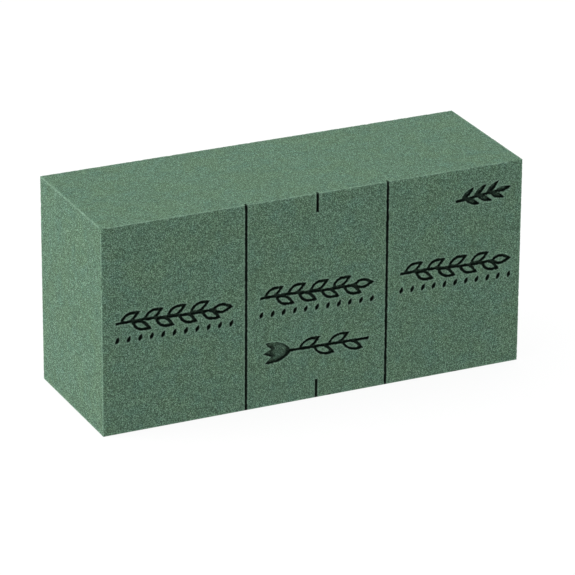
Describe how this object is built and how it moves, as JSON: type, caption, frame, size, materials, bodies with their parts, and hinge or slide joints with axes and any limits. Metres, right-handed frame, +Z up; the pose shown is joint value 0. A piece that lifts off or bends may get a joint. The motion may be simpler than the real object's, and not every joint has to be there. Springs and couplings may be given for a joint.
{
  "type": "floral foam brick",
  "caption": "Rectangular brick of rigid green floral foam, scored into thirds on its broad face, with half marks and a pressed leaf pattern.",
  "frame": {"origin": "middle of the long narrow side that the brick stands on", "axes": "+X along the length, to the right as the scored face is looked at; -Y out of the scored broad face; +Z up, across the broad face"},
  "size_m": [0.23, 0.078, 0.11],
  "materials": {
    "floral_foam": "dry rigid phenolic foam, fine-celled, chalky and fully matte, crumbly at its edges"
  },
  "bodies": {
    "root": {"left_third": "floral_foam", "middle_third": "floral_foam", "right_third": "floral_foam"}
  },
  "joints": []
}
